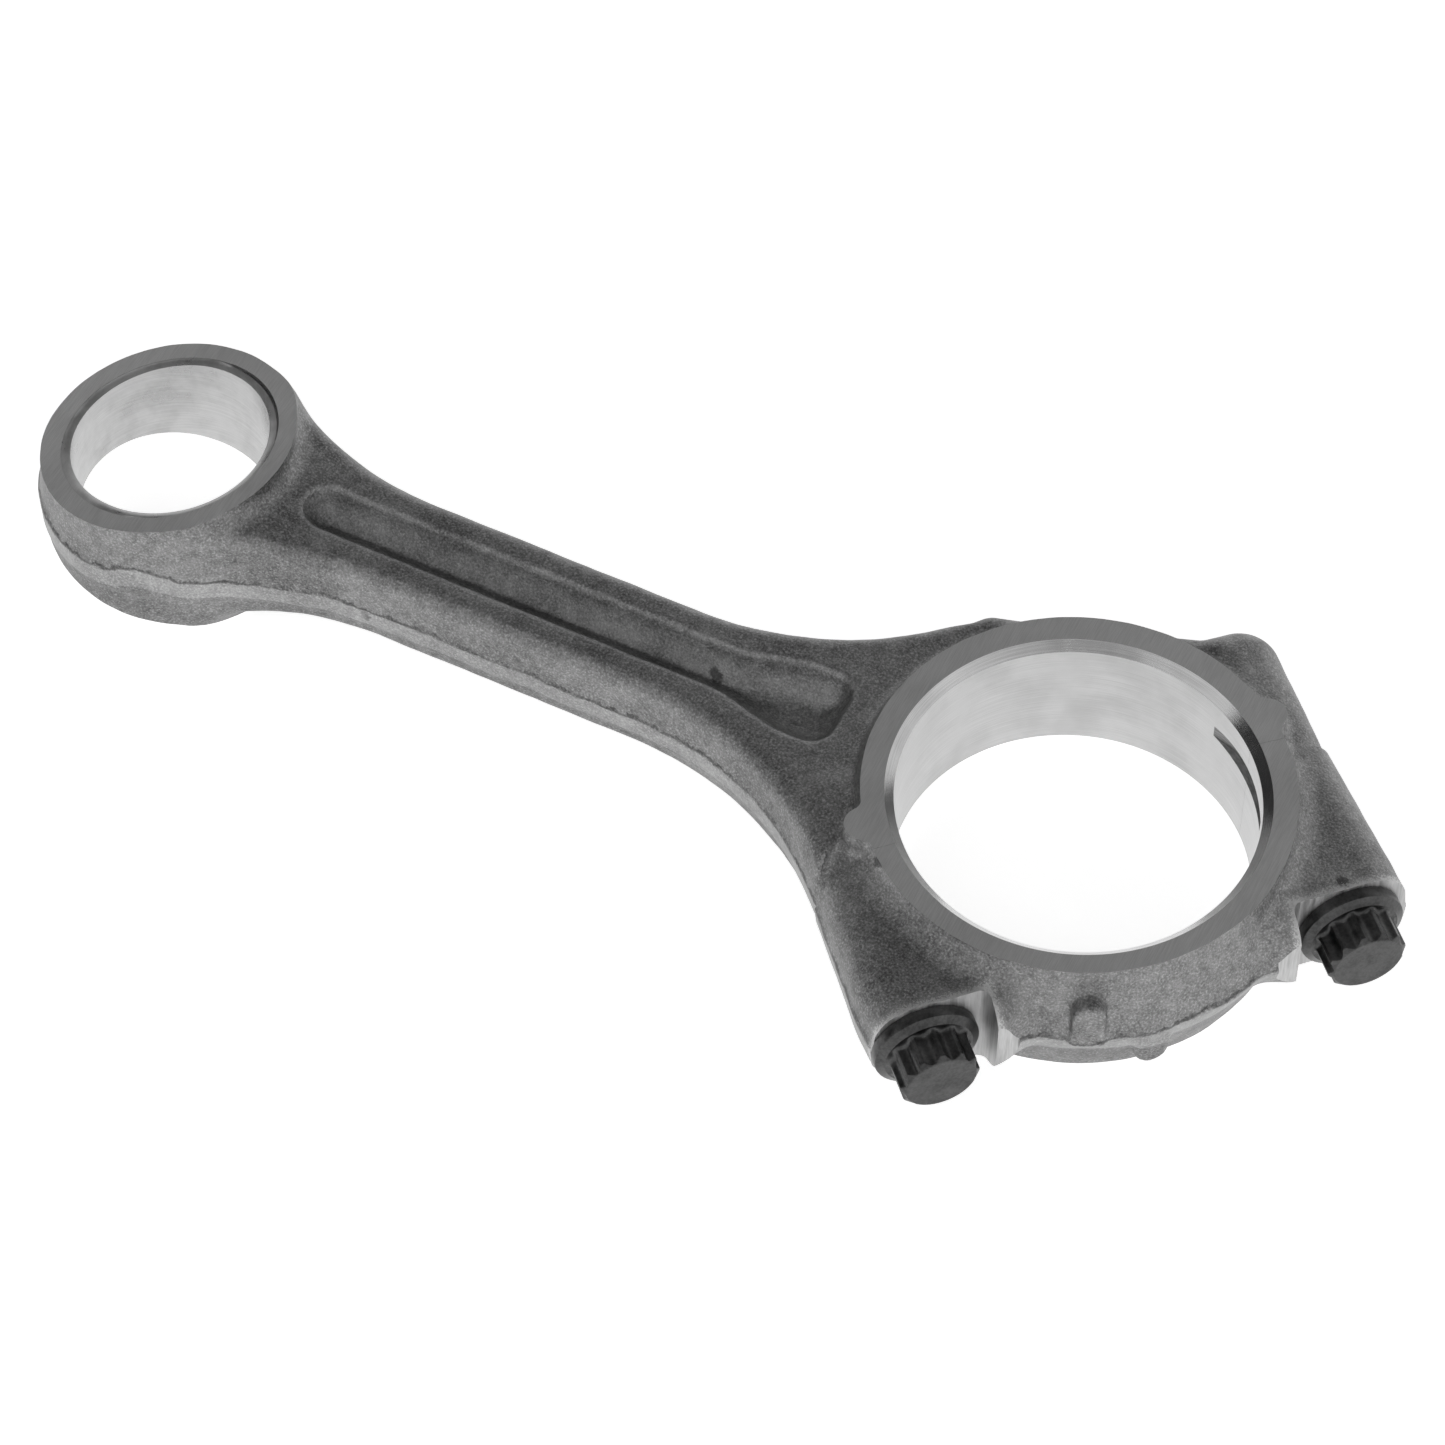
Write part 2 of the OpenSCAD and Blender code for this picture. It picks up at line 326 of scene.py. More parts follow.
def arms_field(u, w, z, back):
    """The web beside the collar and the bolt boss at each of its ends, all bounded by one straight back."""
    top = ARM_TOP - ARM_STEP - LEDGE * ramp(w, *LEDGE_W)
    web = common(back, np.abs(z) - top, BACK_R)
    arms = common(web, np.abs(u - WEB_MIDDLE_U) - WEB_HALF_LENGTH, WEB_END_R)
    for mid_u, mid_w, half_u, half_w in (TOE_BOSS, HEEL_BOSS):
        boss = drafted_block(u - mid_u, w - mid_w, z, (half_u, half_w, top), ROD_BOSS_R)
        arms = union(arms, boss, BOSS_FILLET)
    return arms


def rod_field(x, y, z):
    """The rod's forging before machining, carried a little past the joint."""
    u, w = toward_cap(x, y)
    back = BACK_NORMAL[0] * u + BACK_NORMAL[1] * w - BACK_REACH + DRAFT * np.abs(z)
    shank = common(shank_field(x, y, z), np.where(x > BACK_FROM_X, back, DEEP_INSIDE), BACK_R)
    rod = union(shank, small_end_field(x, y, z), SMALL_FILLET)
    rod = union(rod, arms_field(u, w, z, back), ARM_FILLET)
    rod = common(rod, -pocket_field(x, y, z), EDGE_R)
    rod = union(rod, collar_field(x, y, z), ROD_COLLAR_FILLET)
    for pad_u, pad_w, pad_r in PADS:
        pad = np.hypot(u - pad_u, w - pad_w) - pad_r + PAD_DRAFT * (np.abs(z) - HALF_WIDTH)
        rod = union(rod, common(pad, np.abs(z) - HALF_WIDTH - STOCK, EDGE_R), PAD_FILLET)
    return np.maximum(rod, w - PAST_JOINT)


def lug_field(x, y, z, angle, side):
    """A small upright lug with a round top on the cap's belly."""
    c, s = math.cos(math.radians(angle)), math.sin(math.radians(angle))
    across = -x * s + y * c
    height = np.maximum(side * z - LUG_TOP, 0)
    arch = np.maximum(np.hypot(across, height) - LUG_HALF, -side * z - LUG_PAST_MIDDLE)
    reach = np.hypot(x, y) - LUG_REACH - LUG_UPPER_GAIN * side
    inward = LUG_ROOT - (x * c + y * s)
    return np.maximum(common(arch, reach, EDGE_R), inward)


def cap_field(x, y, z):
    """The cap's forging before machining, carried a little past the joint."""
    u, w = toward_cap(x, y)
    spread = np.clip(w / CAP_DEPTH, -0.1, 1.1)
    toe = TOE_OUTSIDE[0] + TOE_OUTSIDE[1] * spread
    heel = HEEL_OUTSIDE[0] + HEEL_OUTSIDE[1] * spread - HEEL_TUCK * ramp(w, *HEEL_TUCK_W)
    outer = np.where(u > 0, toe, heel)
    across = np.abs(u) - (outer + CAP_BOSS_INNER) / 2
    stretched = across * CAP_BOSS_HALF[0] / ((outer - CAP_BOSS_INNER) / 2)
    boss = drafted_block(stretched, w - CAP_BOSS_W, z, (*CAP_BOSS_HALF, ARM_TOP + ARM_STEP), CAP_BOSS_R)
    cap = union(collar_field(x, y, z), boss, CAP_COLLAR_FILLET)
    for angle, side in LUG_ANGLES:
        cap = union(cap, lug_field(x, y, z, angle, side), LUG_FILLET)
    return np.maximum(cap, -w - PAST_JOINT)


# ---------------------------------------------------------------- forged surface

LATTICE_SIZE = 32
RANDOM = np.random.default_rng(7)
LATTICE = RANDOM.random((LATTICE_SIZE, LATTICE_SIZE, LATTICE_SIZE))


def noise(x, y, z, scale):
    """Smooth value noise from -1 to 1, whose grains are about scale millimetres across."""
    cell, part = [], []
    for v in (x, y, z):
        q = v / scale
        low = np.floor(q)
        f = q - low
        cell.append(low.astype(int))
        part.append(f * f * (3 - 2 * f))
    total = 0
    for corner in range(8):
        weight, index = 1, []
        for axis in range(3):
            high = (corner >> axis) & 1
            weight = weight * (part[axis] if high else 1 - part[axis])
            index.append((cell[axis] + high) % LATTICE_SIZE)
        total = total + weight * LATTICE[tuple(index)]
    return total * 2 - 1


def flash_top(x, y):
    """Height of the trimmed flash's upper edge, which wanders and climbs beside the small end."""
    wander = sum(height * noise(x, y, 0 * x, grain) for height, grain in FLASH_WANDER)
    climb = np.exp(-((x - FLASH_CLIMB_X) / FLASH_CLIMB_LENGTH) ** 2)
    return FLASH_TOP + wander + FLASH_CLIMB * climb


def skin(field):
    """A forging's field with its trimmed flash band and the uneven surface of a drop forging."""
    def uneven(x, y, z):
        top = flash_top(x, y)
        band = ramp(z, top + 0.5, top - 0.3) * ramp(z, *FLASH_FOOT)
        value = field(x, y, z) - FLASH_PROUD * band
        for height, grain in SKIN_WAVES:
            value = value + height * noise(x, y, z, grain)
        return value
    return uneven


def surface_nets(values, origin, step):
    """Vertices and quads of the zero surface of a grid of values."""
    inside = values < 0
    shape = np.array(values.shape) - 1
    count = np.zeros(shape)
    total = np.zeros((*shape, 3))
    for axis in range(3):
        first = [slice(None)] * 3
        second = [slice(None)] * 3
        first[axis], second[axis] = slice(None, -1), slice(1, None)
        a, b = values[tuple(first)], values[tuple(second)]
        cross = (a < 0) != (b < 0)
        t = np.where(cross, a / np.where(cross, a - b, 1), 0)
        others = [k for k in range(3) if k != axis]
        for da in (0, 1):
            for db in (0, 1):
                cut = [slice(None)] * 3
                cut[others[0]] = slice(da, da + shape[others[0]])
                cut[others[1]] = slice(db, db + shape[others[1]])
                c = cross[tuple(cut)]
                count += c
                total[..., axis] += c * t[tuple(cut)]
                total[..., others[0]] += c * da
                total[..., others[1]] += c * db
    cells = np.argwhere(count > 0)
    index = np.full(shape, -1)
    index[tuple(cells.T)] = np.arange(len(cells))
    found = tuple(cells.T)
    verts = (cells + total[found] / count[found][:, None]) * step + origin
    quads = []
    for axis in range(3):
        b, c = (axis + 1) % 3, (axis + 2) % 3
        first = [slice(1, -1)] * 3
        second = [slice(1, -1)] * 3
        first[axis], second[axis] = slice(0, -1), slice(1, None)
        cross = inside[tuple(first)] != inside[tuple(second)]
        start = np.argwhere(cross)
        start[:, b] += 1
        start[:, c] += 1
        corners = []
        for db, dc in ((-1, -1), (0, -1), (0, 0), (-1, 0)):
            k = start.copy()
            k[:, b] += db
            k[:, c] += dc
            corners.append(index[tuple(k.T)])
        quad = np.stack(corners, 1)
        leaving = inside[tuple(start.T)]
        quad[~leaving] = quad[~leaving][:, ::-1]
        quads.append(quad)
    return verts, np.concatenate(quads)


def relax_and_project(verts, quads, field, rounds):
    """Evens out the vertices along the surface and lands them on the field's zero surface."""
    h = 0.05               # the step, in millimetres, over which the slope is measured
    least = 0.25           # keeps a vertex from leaping where the field is nearly flat
    for _ in range(rounds):
        centre = verts[quads].mean(1)
        total = np.zeros_like(verts)
        number = np.zeros(len(verts))
        for k in range(4):
            np.add.at(total, quads[:, k], centre)
            np.add.at(number, quads[:, k], 1)
        verts = 0.5 * verts + 0.5 * total / number[:, None]
        for _ in range(2):
            here = field(*verts.T)
            steps = [field(*(verts + h * np.eye(3)[k]).T) - here for k in range(3)]
            gradient = np.stack(steps, 1) / h
            length = np.maximum((gradient ** 2).sum(1), least)
            verts = verts - (here / length)[:, None] * gradient
    return verts


def new_object(name, verts, faces, material=None):
    """A mesh object from vertices in millimetres."""
    mesh = bpy.data.meshes.new(name)
    mesh.from_pydata((np.asarray(verts) * MM).tolist(), [], [list(face) for face in faces])
    mesh.update()
    if material:
        mesh.materials.append(material)
    obj = bpy.data.objects.new(name, mesh)
    bpy.context.scene.collection.objects.link(obj)
    return obj


def forging_mesh(name, field, low, high, material):
    """The closed mesh of a forging inside the box from low to high."""
    axes = [np.arange(low[k], high[k], GRID_MM) for k in range(3)]
    values = np.empty([len(a) for a in axes], dtype=np.float32)
    y, z = np.meshgrid(axes[1], axes[2], indexing="ij")
    for i, x in enumerate(axes[0]):
        values[i] = field(np.full_like(y, x), y, z)
    verts, quads = surface_nets(values, np.array(low), GRID_MM)
    verts = relax_and_project(verts, quads, skin(field), 3)
    return new_object(name, verts, quads, material)


# ---------------------------------------------------------------- solids of revolution and cutters

def joint_point(u, w, z):
    """Turns the joint's coordinates back into the frame's x, y and z."""
    x = w * CAP_AXIS[0] - u * CAP_AXIS[1]
    y = w * CAP_AXIS[1] + u * CAP_AXIS[0]
    return np.stack([x, y, z + 0 * u], -1)


def ring_solid(name, rings, place, materials, ring_material=None, start=None, end=None):
    """A closed solid from stacked rings, capped by the points start and end, or joined end to start."""
    count = len(rings[0])
    verts = [point for row in rings for point in row]
    faces, slots = [], []
    joined = start is None
    last = len(rings) if joined else len(rings) - 1
    for i in range(last):
        a, b = i * count, (i + 1) % len(rings) * count
        for k in range(count):
            m = (k + 1) % count
            faces.append((a + k, a + m, b + m, b + k))
            slots.append(ring_material[i] if ring_material else 0)
    if not joined:
        for pole, row, turn in ((start, 0, 1), (end, len(rings) - 1, -1)):
            verts.append(pole)
            for k in range(count):
                m = (k + 1) % count
                side = (row * count + k, row * count + m)
                faces.append((len(verts) - 1, *side[::-turn]))
                slots.append(0)
    obj = new_object(name, place(np.array(verts)), faces)
    for material in materials:
        obj.data.materials.append(material)
    obj.data.polygons.foreach_set("material_index", slots)
    return outward(obj)


def circle(count):
    """Angles evenly round a full turn."""
    return np.arange(count) * 2 * math.pi / count


def ring(r, angle, height):
    """A ring about the z axis. Its radius and height may change round it."""
    return np.stack([r * np.cos(angle), r * np.sin(angle), height + 0 * angle], -1)


def turned(name, profile, place, materials, segments, ring_material=None):
    """A solid turned from a profile of radius and height, closed on its axis at both ends."""
    angle = circle(segments)
    rings = [ring(r, angle, t) for r, t in profile]
    return ring_solid(
        name, rings, place, materials, ring_material,
        start=np.array([0, 0, profile[0][1]]), end=np.array([0, 0, profile[-1][1]]),
    )


def at(x, y=0.0):
    """Places a turned solid upright about a point."""
    return lambda p: p + np.array([x, y, 0.0])


def on_bolt(side):
    """Places a turned solid on a bolt's axis. Its height runs from the joint towards the cap."""
    return lambda p: joint_point(side * BOLT_U + p[..., 0], p[..., 2], p[..., 1])


def block(name, corners, material):
    """A six-sided cutter from its four lower and four upper corners, each four in turning order."""
    faces = [(3, 2, 1, 0), (4, 5, 6, 7), (0, 1, 5, 4), (1, 2, 6, 5), (2, 3, 7, 6), (3, 0, 4, 7)]
    return new_object(name, corners, faces, material)


def outward(obj):
    """Turns every face of a closed mesh outwards."""
    mesh = bmesh.new()
    mesh.from_mesh(obj.data)
    bmesh.ops.recalc_face_normals(mesh, faces=mesh.faces)
    mesh.to_mesh(obj.data)
    mesh.free()
    return obj


def boolean(target, cutter, operation="DIFFERENCE"):
    """Cuts target with cutter and removes the cutter. The new faces take the cutter's materials."""
    modifier = target.modifiers.new("cut", "BOOLEAN")
    modifier.operation = operation
    modifier.solver = "MANIFOLD"
    modifier.material_mode = "TRANSFER"
    modifier.object = cutter
    evaluated = target.evaluated_get(bpy.context.evaluated_depsgraph_get())
    mesh = bpy.data.meshes.new_from_object(evaluated)
    target.modifiers.clear()
    target.data = mesh
    bpy.data.objects.remove(cutter)


def thread_radius(angle, height, grow=0.0):
    """Radius of the bolt thread's surface: a helix with straight flanks, narrow crests and flat roots."""
    phase = (height / THREAD_PITCH - angle / (2 * math.pi)) % 1.0
    tooth = np.clip(np.abs(phase - 0.5) * 2.6 - 0.25, 0, 1)
    return THREAD_ROOT_R + (THREAD_R - THREAD_ROOT_R) * tooth + grow


def prism(name, outline, low, high, material, side=1):
    """A cutter with a flat outline in the joint's u and w, upright from low to high."""
    u = side * np.array([point[0] for point in outline])
    w = np.array([point[1] for point in outline])
    count = len(outline)
    verts = np.concatenate([joint_point(u, w, z) for z in (low, high)])
    faces = [tuple(range(count)), tuple(range(2 * count - 1, count - 1, -1))]
    faces += [(k, k + count, (k + 1) % count + count, (k + 1) % count) for k in range(count)]
    return outward(new_object(name, verts, faces, material))


def face_machining(piece, looks):
    """Cuts the thrust faces, the big-end bore with its chamfers, and the notch for the shells' tangs."""
    low_x, above = -62.0, 26.0
    around = ((low_x, -FAR_OUT), (FAR_OUT, -FAR_OUT), (FAR_OUT, FAR_OUT), (low_x, FAR_OUT))
    for side in (-1, 1):
        heights = sorted((side * HALF_WIDTH, side * above))
        corners = [(x, y, z) for z in heights for x, y in around]
        boolean(piece, block("thrust_cutter", corners, looks["ground"]))
    over = 3
    wall = HALF_WIDTH - BORE_CHAMFER
    mouth = BORE_R + BORE_CHAMFER + over
    top = HALF_WIDTH + over
    profile = [(mouth, -top), (BORE_R, -wall), (BORE_R, wall), (mouth, top)]
    boolean(piece, turned("bore_cutter", profile, at(0), [looks["turned"], looks["bore"]], 256, [0, 1, 0]))
    middle = joint_point(BORE_R + NOTCH_DEPTH - NOTCH_R, 0.0, 0.0)
    radii = (NOTCH_R - NOTCH_FLANK, NOTCH_R, NOTCH_R, NOTCH_R - NOTCH_FLANK)
    profile = list(zip(radii, NOTCH_HEIGHTS))
    # The notch's finish is darkened as painted shade.
    boolean(piece, turned("notch_cutter", profile, at(*middle[:2]), [looks["pit"]], 160))


def rod_machining(piece, looks):
    """Cuts the wedge faces and the housing at the small end, and the two threaded holes."""
    low_x, high_x, half_y, above = -260.0, -172.0, 40.0, 20.0
    around = ((low_x, -half_y), (high_x, -half_y), (high_x, half_y), (low_x, half_y))
    for side in (-1, 1):
        corners = []
        for lift in (0, above) if side > 0 else (above, 0):
            for x, y in around:
                corners.append((x, y, side * (SMALL_HALF + SMALL_SLOPE * (x - SMALL_X) + lift)))
        boolean(piece, block("small_end_cutter", corners, looks["ground"]))
        boolean(piece, tapped_hole(side, looks["turned"]))
    profile = [(HOUSING_R, -30), (HOUSING_R, 30)]
    boolean(piece, turned("housing_cutter", profile, at(SMALL_X), [looks["bore"]], 200))


def cap_machining(piece, looks):
    """Cuts the bolts' clearance holes and seats. Beside each seat stands a wall with a step at its top."""
    fillet = []
    for t in np.linspace(0, math.pi / 2, 7):
        u = SEAT_WALL_U + SEAT_FILLET - SEAT_FILLET * math.sin(t)
        fillet.append((u, SEAT_W + SEAT_FILLET - SEAT_FILLET * math.cos(t)))
    wall_top = [(SEAT_WALL_U, STEP_W), (STEP_U, STEP_W), (STEP_U - 1, FAR_OUT)]
    outline = [(FAR_OUT, SEAT_W), *fillet, *wall_top, (FAR_OUT, FAR_OUT)]
    hole = [(CLEARANCE_R, -8.0), (CLEARANCE_R, 60)]
    for side in (-1, 1):
        boolean(piece, turned("clearance_cutter", hole, on_bolt(side), [looks["turned"]], 96))
        boolean(piece, prism("seat_cutter", outline, -25, 25, looks["milled"], side))


def tapped_hole(side, material):
    """Cutter for the threaded hole in the rod, with the drill's cone at its bottom."""
    angle = circle(48)
    rings = []
    for t in np.arange(-HOLE_DEPTH, -0.4, THREAD_PITCH / 6):
        rings.append(ring(thread_radius(angle, t, HOLE_PLAY), angle, t))
    for r, t in ((THREAD_R + 0.1, -0.6), (THREAD_R + 0.5, 0.0), (THREAD_R + 0.5, 1.0)):
        rings.append(ring(r, angle, t))
    return ring_solid(
        "tapped_hole", rings, on_bolt(side), [material],
        start=np.array([0, 0, -HOLE_DEPTH - 3.0]), end=np.array([0, 0, 1.0]),
    )


def fracture_slab(material, gap):
    """Everything on the cap's side of the fracture, whose face is rough like broken steel."""
    u, z = np.meshgrid(np.arange(-64, 64.1, GRID_MM), np.arange(-22, 22.1, GRID_MM), indexing="ij")
    rough = sum(height * noise(u, 0 * u + level, z, grain) for height, level, grain in FRACTURE_WAVES)
    front = joint_point(u, rough + gap, z)
    back = joint_point(u, 0 * u + 90, z)
    rows, columns = u.shape
    verts = np.concatenate([front.reshape(-1, 3), back.reshape(-1, 3)])
    index = np.arange(rows * columns).reshape(rows, columns)
    faces = []
    for layer, turn in ((0, 1), (rows * columns, -1)):
        k = index + layer
        for quad in np.stack([k[:-1, :-1], k[1:, :-1], k[1:, 1:], k[:-1, 1:]], -1).reshape(-1, 4):
            faces.append(tuple(quad[::turn]))
    rim = np.concatenate([index[:-1, 0], index[-1, :-1], index[:0:-1, -1], index[0, :0:-1]])
    for a, b in zip(rim, np.roll(rim, -1)):
        faces.append((a, a + rows * columns, b + rows * columns, b))
    return outward(new_object("fracture", verts, faces, material))


def finish_surface(obj, angle=32):
    """Smooth shading, with sharp edges at corners and wherever the finish changes."""
    mesh = bmesh.new()
    mesh.from_mesh(obj.data)
    bmesh.ops.remove_doubles(mesh, verts=mesh.verts, dist=0.002 * MM)
    bmesh.ops.dissolve_degenerate(mesh, edges=mesh.edges, dist=0.001 * MM)
    for face in mesh.faces:
        face.smooth = True
    for edge in mesh.edges:
        if len(edge.link_faces) == 2:
            one, other = edge.link_faces
            corner = edge.calc_face_angle(0) > math.radians(angle)
            edge.smooth = not (corner or one.material_index != other.material_index)
    mesh.to_mesh(obj.data)
    mesh.free()


def mark_flash(obj):
    """Stores how far each vertex is above the flash line and from the bolt seats, in millimetres."""
    places = np.empty(len(obj.data.vertices) * 3)
    obj.data.vertices.foreach_get("co", places)
    x, y, z = places.reshape(-1, 3).T / MM
    u, w = toward_cap(x, y)
    from_seat = np.hypot(np.maximum(SEAT_WALL_U - np.abs(u), 0), np.maximum(SEAT_W - w, 0))
    for name, values in (("above_flash", z - flash_top(x, y)), ("from_seat", from_seat)):
        attribute = obj.data.attributes.new(name, "FLOAT", "POINT")
        attribute.data.foreach_set("value", values)


# ---------------------------------------------------------------- bolts and bush

def twelve_points(angle):
    """Radius of the twelve-point drive: narrow points with rounded valleys between them."""
    step = math.radians(30)
    off = np.abs((angle + step / 2) % step - step / 2) / math.radians(11.8)
    return HEAD_POINT_R - HEAD_VALLEY * np.clip(1 - off * off, 0, 1)


def bolt_shank_rows(angle):
    """Radius and height of each ring from the bolt's tip to the end of its thread."""
    rows = [(2.0, BOLT_TIP + 0.5), (2.6, BOLT_TIP), (BOLT_TIP_R, BOLT_TIP)]
    for t in np.arange(BOLT_TIP + 0.3, THREAD_TOP, THREAD_PITCH / 9):
        fade = np.clip((THREAD_TOP - t) / 1.5, 0, 1)
        lead = BOLT_TIP_R + 0.3 + (t - BOLT_TIP)
        r = thread_radius(angle, t)
        rows.append((np.minimum(r * fade + NECK_R * (1 - fade), lead), t))
    return [*rows, (NECK_R, THREAD_TOP)]


def bolt_flange_rows():
    """Radius and height of each ring round the flange, from the fillet under it to the foot of the drive."""
    lip = FLANGE_R - NECK_R
    profile = [
        (0, -1.2), (0.12, -0.6), (0.45, -0.15), (0.8, 0),
        (lip - 0.4, 0), (lip - 0.1, 0.1), (lip, 0.4), (lip, 2.1),
        (lip - 0.1, 2.45), (lip - 0.4, 2.65), (lip - 1.2, 3.1), (FLANGE_TOP_R - NECK_R, FLANGE_TOP),
    ]
    return [(NECK_R + r, SEAT_W + t) for r, t in profile]


def bolt_head_rows(star):
    """Radius and height of each ring of the twelve-point drive, whose outline is star, and of its end."""
    foot = SEAT_W + FLANGE_TOP
    rows = []
    for k in np.linspace(0, math.pi / 2, 7)[1:]:
        blend = star + (FLANGE_TOP_R - star) * (1 - math.sin(k)) * 0.8
        rows.append((blend, foot + HEAD_FOOT * (1 - math.cos(k))))
    straight = np.linspace(foot + 1.5, HEAD_END - 1.3, 6)
    for t in (*straight, *np.arange(HEAD_END - 1.1, HEAD_END, 0.1)):
        cone = HEAD_CHAMFER_R + (HEAD_END - t) * 1.15
        rows.append((np.minimum(star, cone), t))
    for r, t in ((7.15, 0.03), (7.0, 0.05), (6.4, 0.0), (5.0, 0.05), (3.0, 0.08), (1.0, 0.1)):
        rows.append((r, HEAD_END + t))
    return rows


def bolt(name, side, turn_degrees, body, material):
    """One cap bolt: a threaded shank, a flange and a twelve-point head, turned about its own axis."""
    angle = circle(240)
    star = twelve_points(angle + math.radians(turn_degrees))
    rows = bolt_shank_rows(angle) + bolt_flange_rows() + bolt_head_rows(star)
    obj = ring_solid(
        name, [ring(r, angle, t) for r, t in rows], on_bolt(side), [material],
        start=np.array([0, 0, BOLT_TIP + 1.2]), end=np.array([0, 0, HEAD_END + 0.1]),
    )
    finish_surface(obj, 28)
    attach(obj, body)
    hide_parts("cap_" + body)


def bush(material, bore_material):
    """The pressed-in bush, whose ends are level with the wedge's faces or sink below them."""
    angle = circle(256)
    outer = HOUSING_R - BUSH_PLAY
    outline = [(PIN_BORE_R, 0.25, 0), (PIN_BORE_R + 0.8, 0, 0), (outer - 0.5, 0, 0), (outer, 0, 0.5)]
    rings = []
    for side in (-1, 1):
        for r, drop, corner in outline[::side]:
            x = r * np.cos(angle)
            face = SMALL_HALF + SMALL_SLOPE * x
            end = np.minimum(face - BUSH_PLAY, BUSH_HALF + BUSH_SLOPE * x)
            end = end - drop - corner * np.clip((face - end - 0.1) / 0.4, 0, 1)
            rings.append(ring(r, angle, side * end))
    wall_ring = len(outline) - 1
    slots = [int(k == wall_ring) for k in range(len(rings))]
    obj = ring_solid("small_end_bush_detailed", rings, at(SMALL_X), [material, bore_material], slots)
    finish_surface(obj, 25)
    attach(obj, "rod")
    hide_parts("small_end_bush")


# ---------------------------------------------------------------- materials

class Finish:
    """A node material with one Principled shader and a few helpers to feed it."""

    def __init__(self, name, metallic, roughness, colour=(0.5, 0.5, 0.5)):
        self.material = bpy.data.materials.new(name)
        self.material.use_nodes = True
        self.tree = self.material.node_tree
        self.shader = self.tree.nodes["Principled BSDF"]
        self.shader.inputs["Metallic"].default_value = metallic
        self.shader.inputs["Roughness"].default_value = roughness
        self.shader.inputs["Base Color"].default_value = (*colour, 1)
        self.place = self.node("ShaderNodeTexCoord").outputs["Object"]

    def node(self, kind, inputs=None, **settings):
        """A new node. Each input is either a value or another node's output."""
        made = self.tree.nodes.new(kind)
        for key, value in settings.items():
            setattr(made, key, value)
        for key, value in (inputs or {}).items():
            if isinstance(value, bpy.types.NodeSocket):
                self.tree.links.new(value, made.inputs[key])
            else:
                made.inputs[key].default_value = value
        return made

    def mapped(self, scale, turn=(0, 0, 0)):
        """The object's coordinates, turned and then stretched along each axis."""
        inputs = {"Vector": self.place, "Rotation": turn, "Scale": scale}
        return self.node("ShaderNodeMapping", inputs).outputs[0]

    def noise(self, scale, detail=2.0, rough=0.5, vector=None):
        """Cloudy noise, with scale grains to the metre."""
        inputs = {"Vector": vector or self.place, "Scale": scale, "Detail": detail, "Roughness": rough}
        return self.node("ShaderNodeTexNoise", inputs).outputs["Fac"]

    def math(self, operation, a, b):
        """A sum, difference or product of two values."""
        return self.node("ShaderNodeMath", {0: a, 1: b}, operation=operation).outputs[0]

    def span(self, value, low, high, to_low=0.0, to_high=1.0):
        """Carries the range from low to high over to another range, with soft ends."""
        inputs = {"Value": value, "From Min": low, "From Max": high, "To Min": to_low, "To Max": to_high}
        return self.node("ShaderNodeMapRange", inputs, interpolation_type="SMOOTHSTEP").outputs[0]

    def grey(self, value):
        """Turns a brightness into a neutral colour and feeds the shader with it."""
        colour = self.node("ShaderNodeCombineColor", {"Red": value, "Green": value, "Blue": value})
        self.feed("Base Color", colour.outputs[0])

    def feed(self, socket, value):
        """Links a value to one of the shader's sockets."""
        self.tree.links.new(value, self.shader.inputs[socket])

    def bump(self, height, distance_mm, strength, below=None):
        """A bumpy normal of a given depth, on top of another one if it is given."""
        inputs = {"Height": height, "Distance": distance_mm * MM, "Strength": strength}
        if below:
            inputs["Normal"] = below
        return self.node("ShaderNodeBump", inputs).outputs["Normal"]


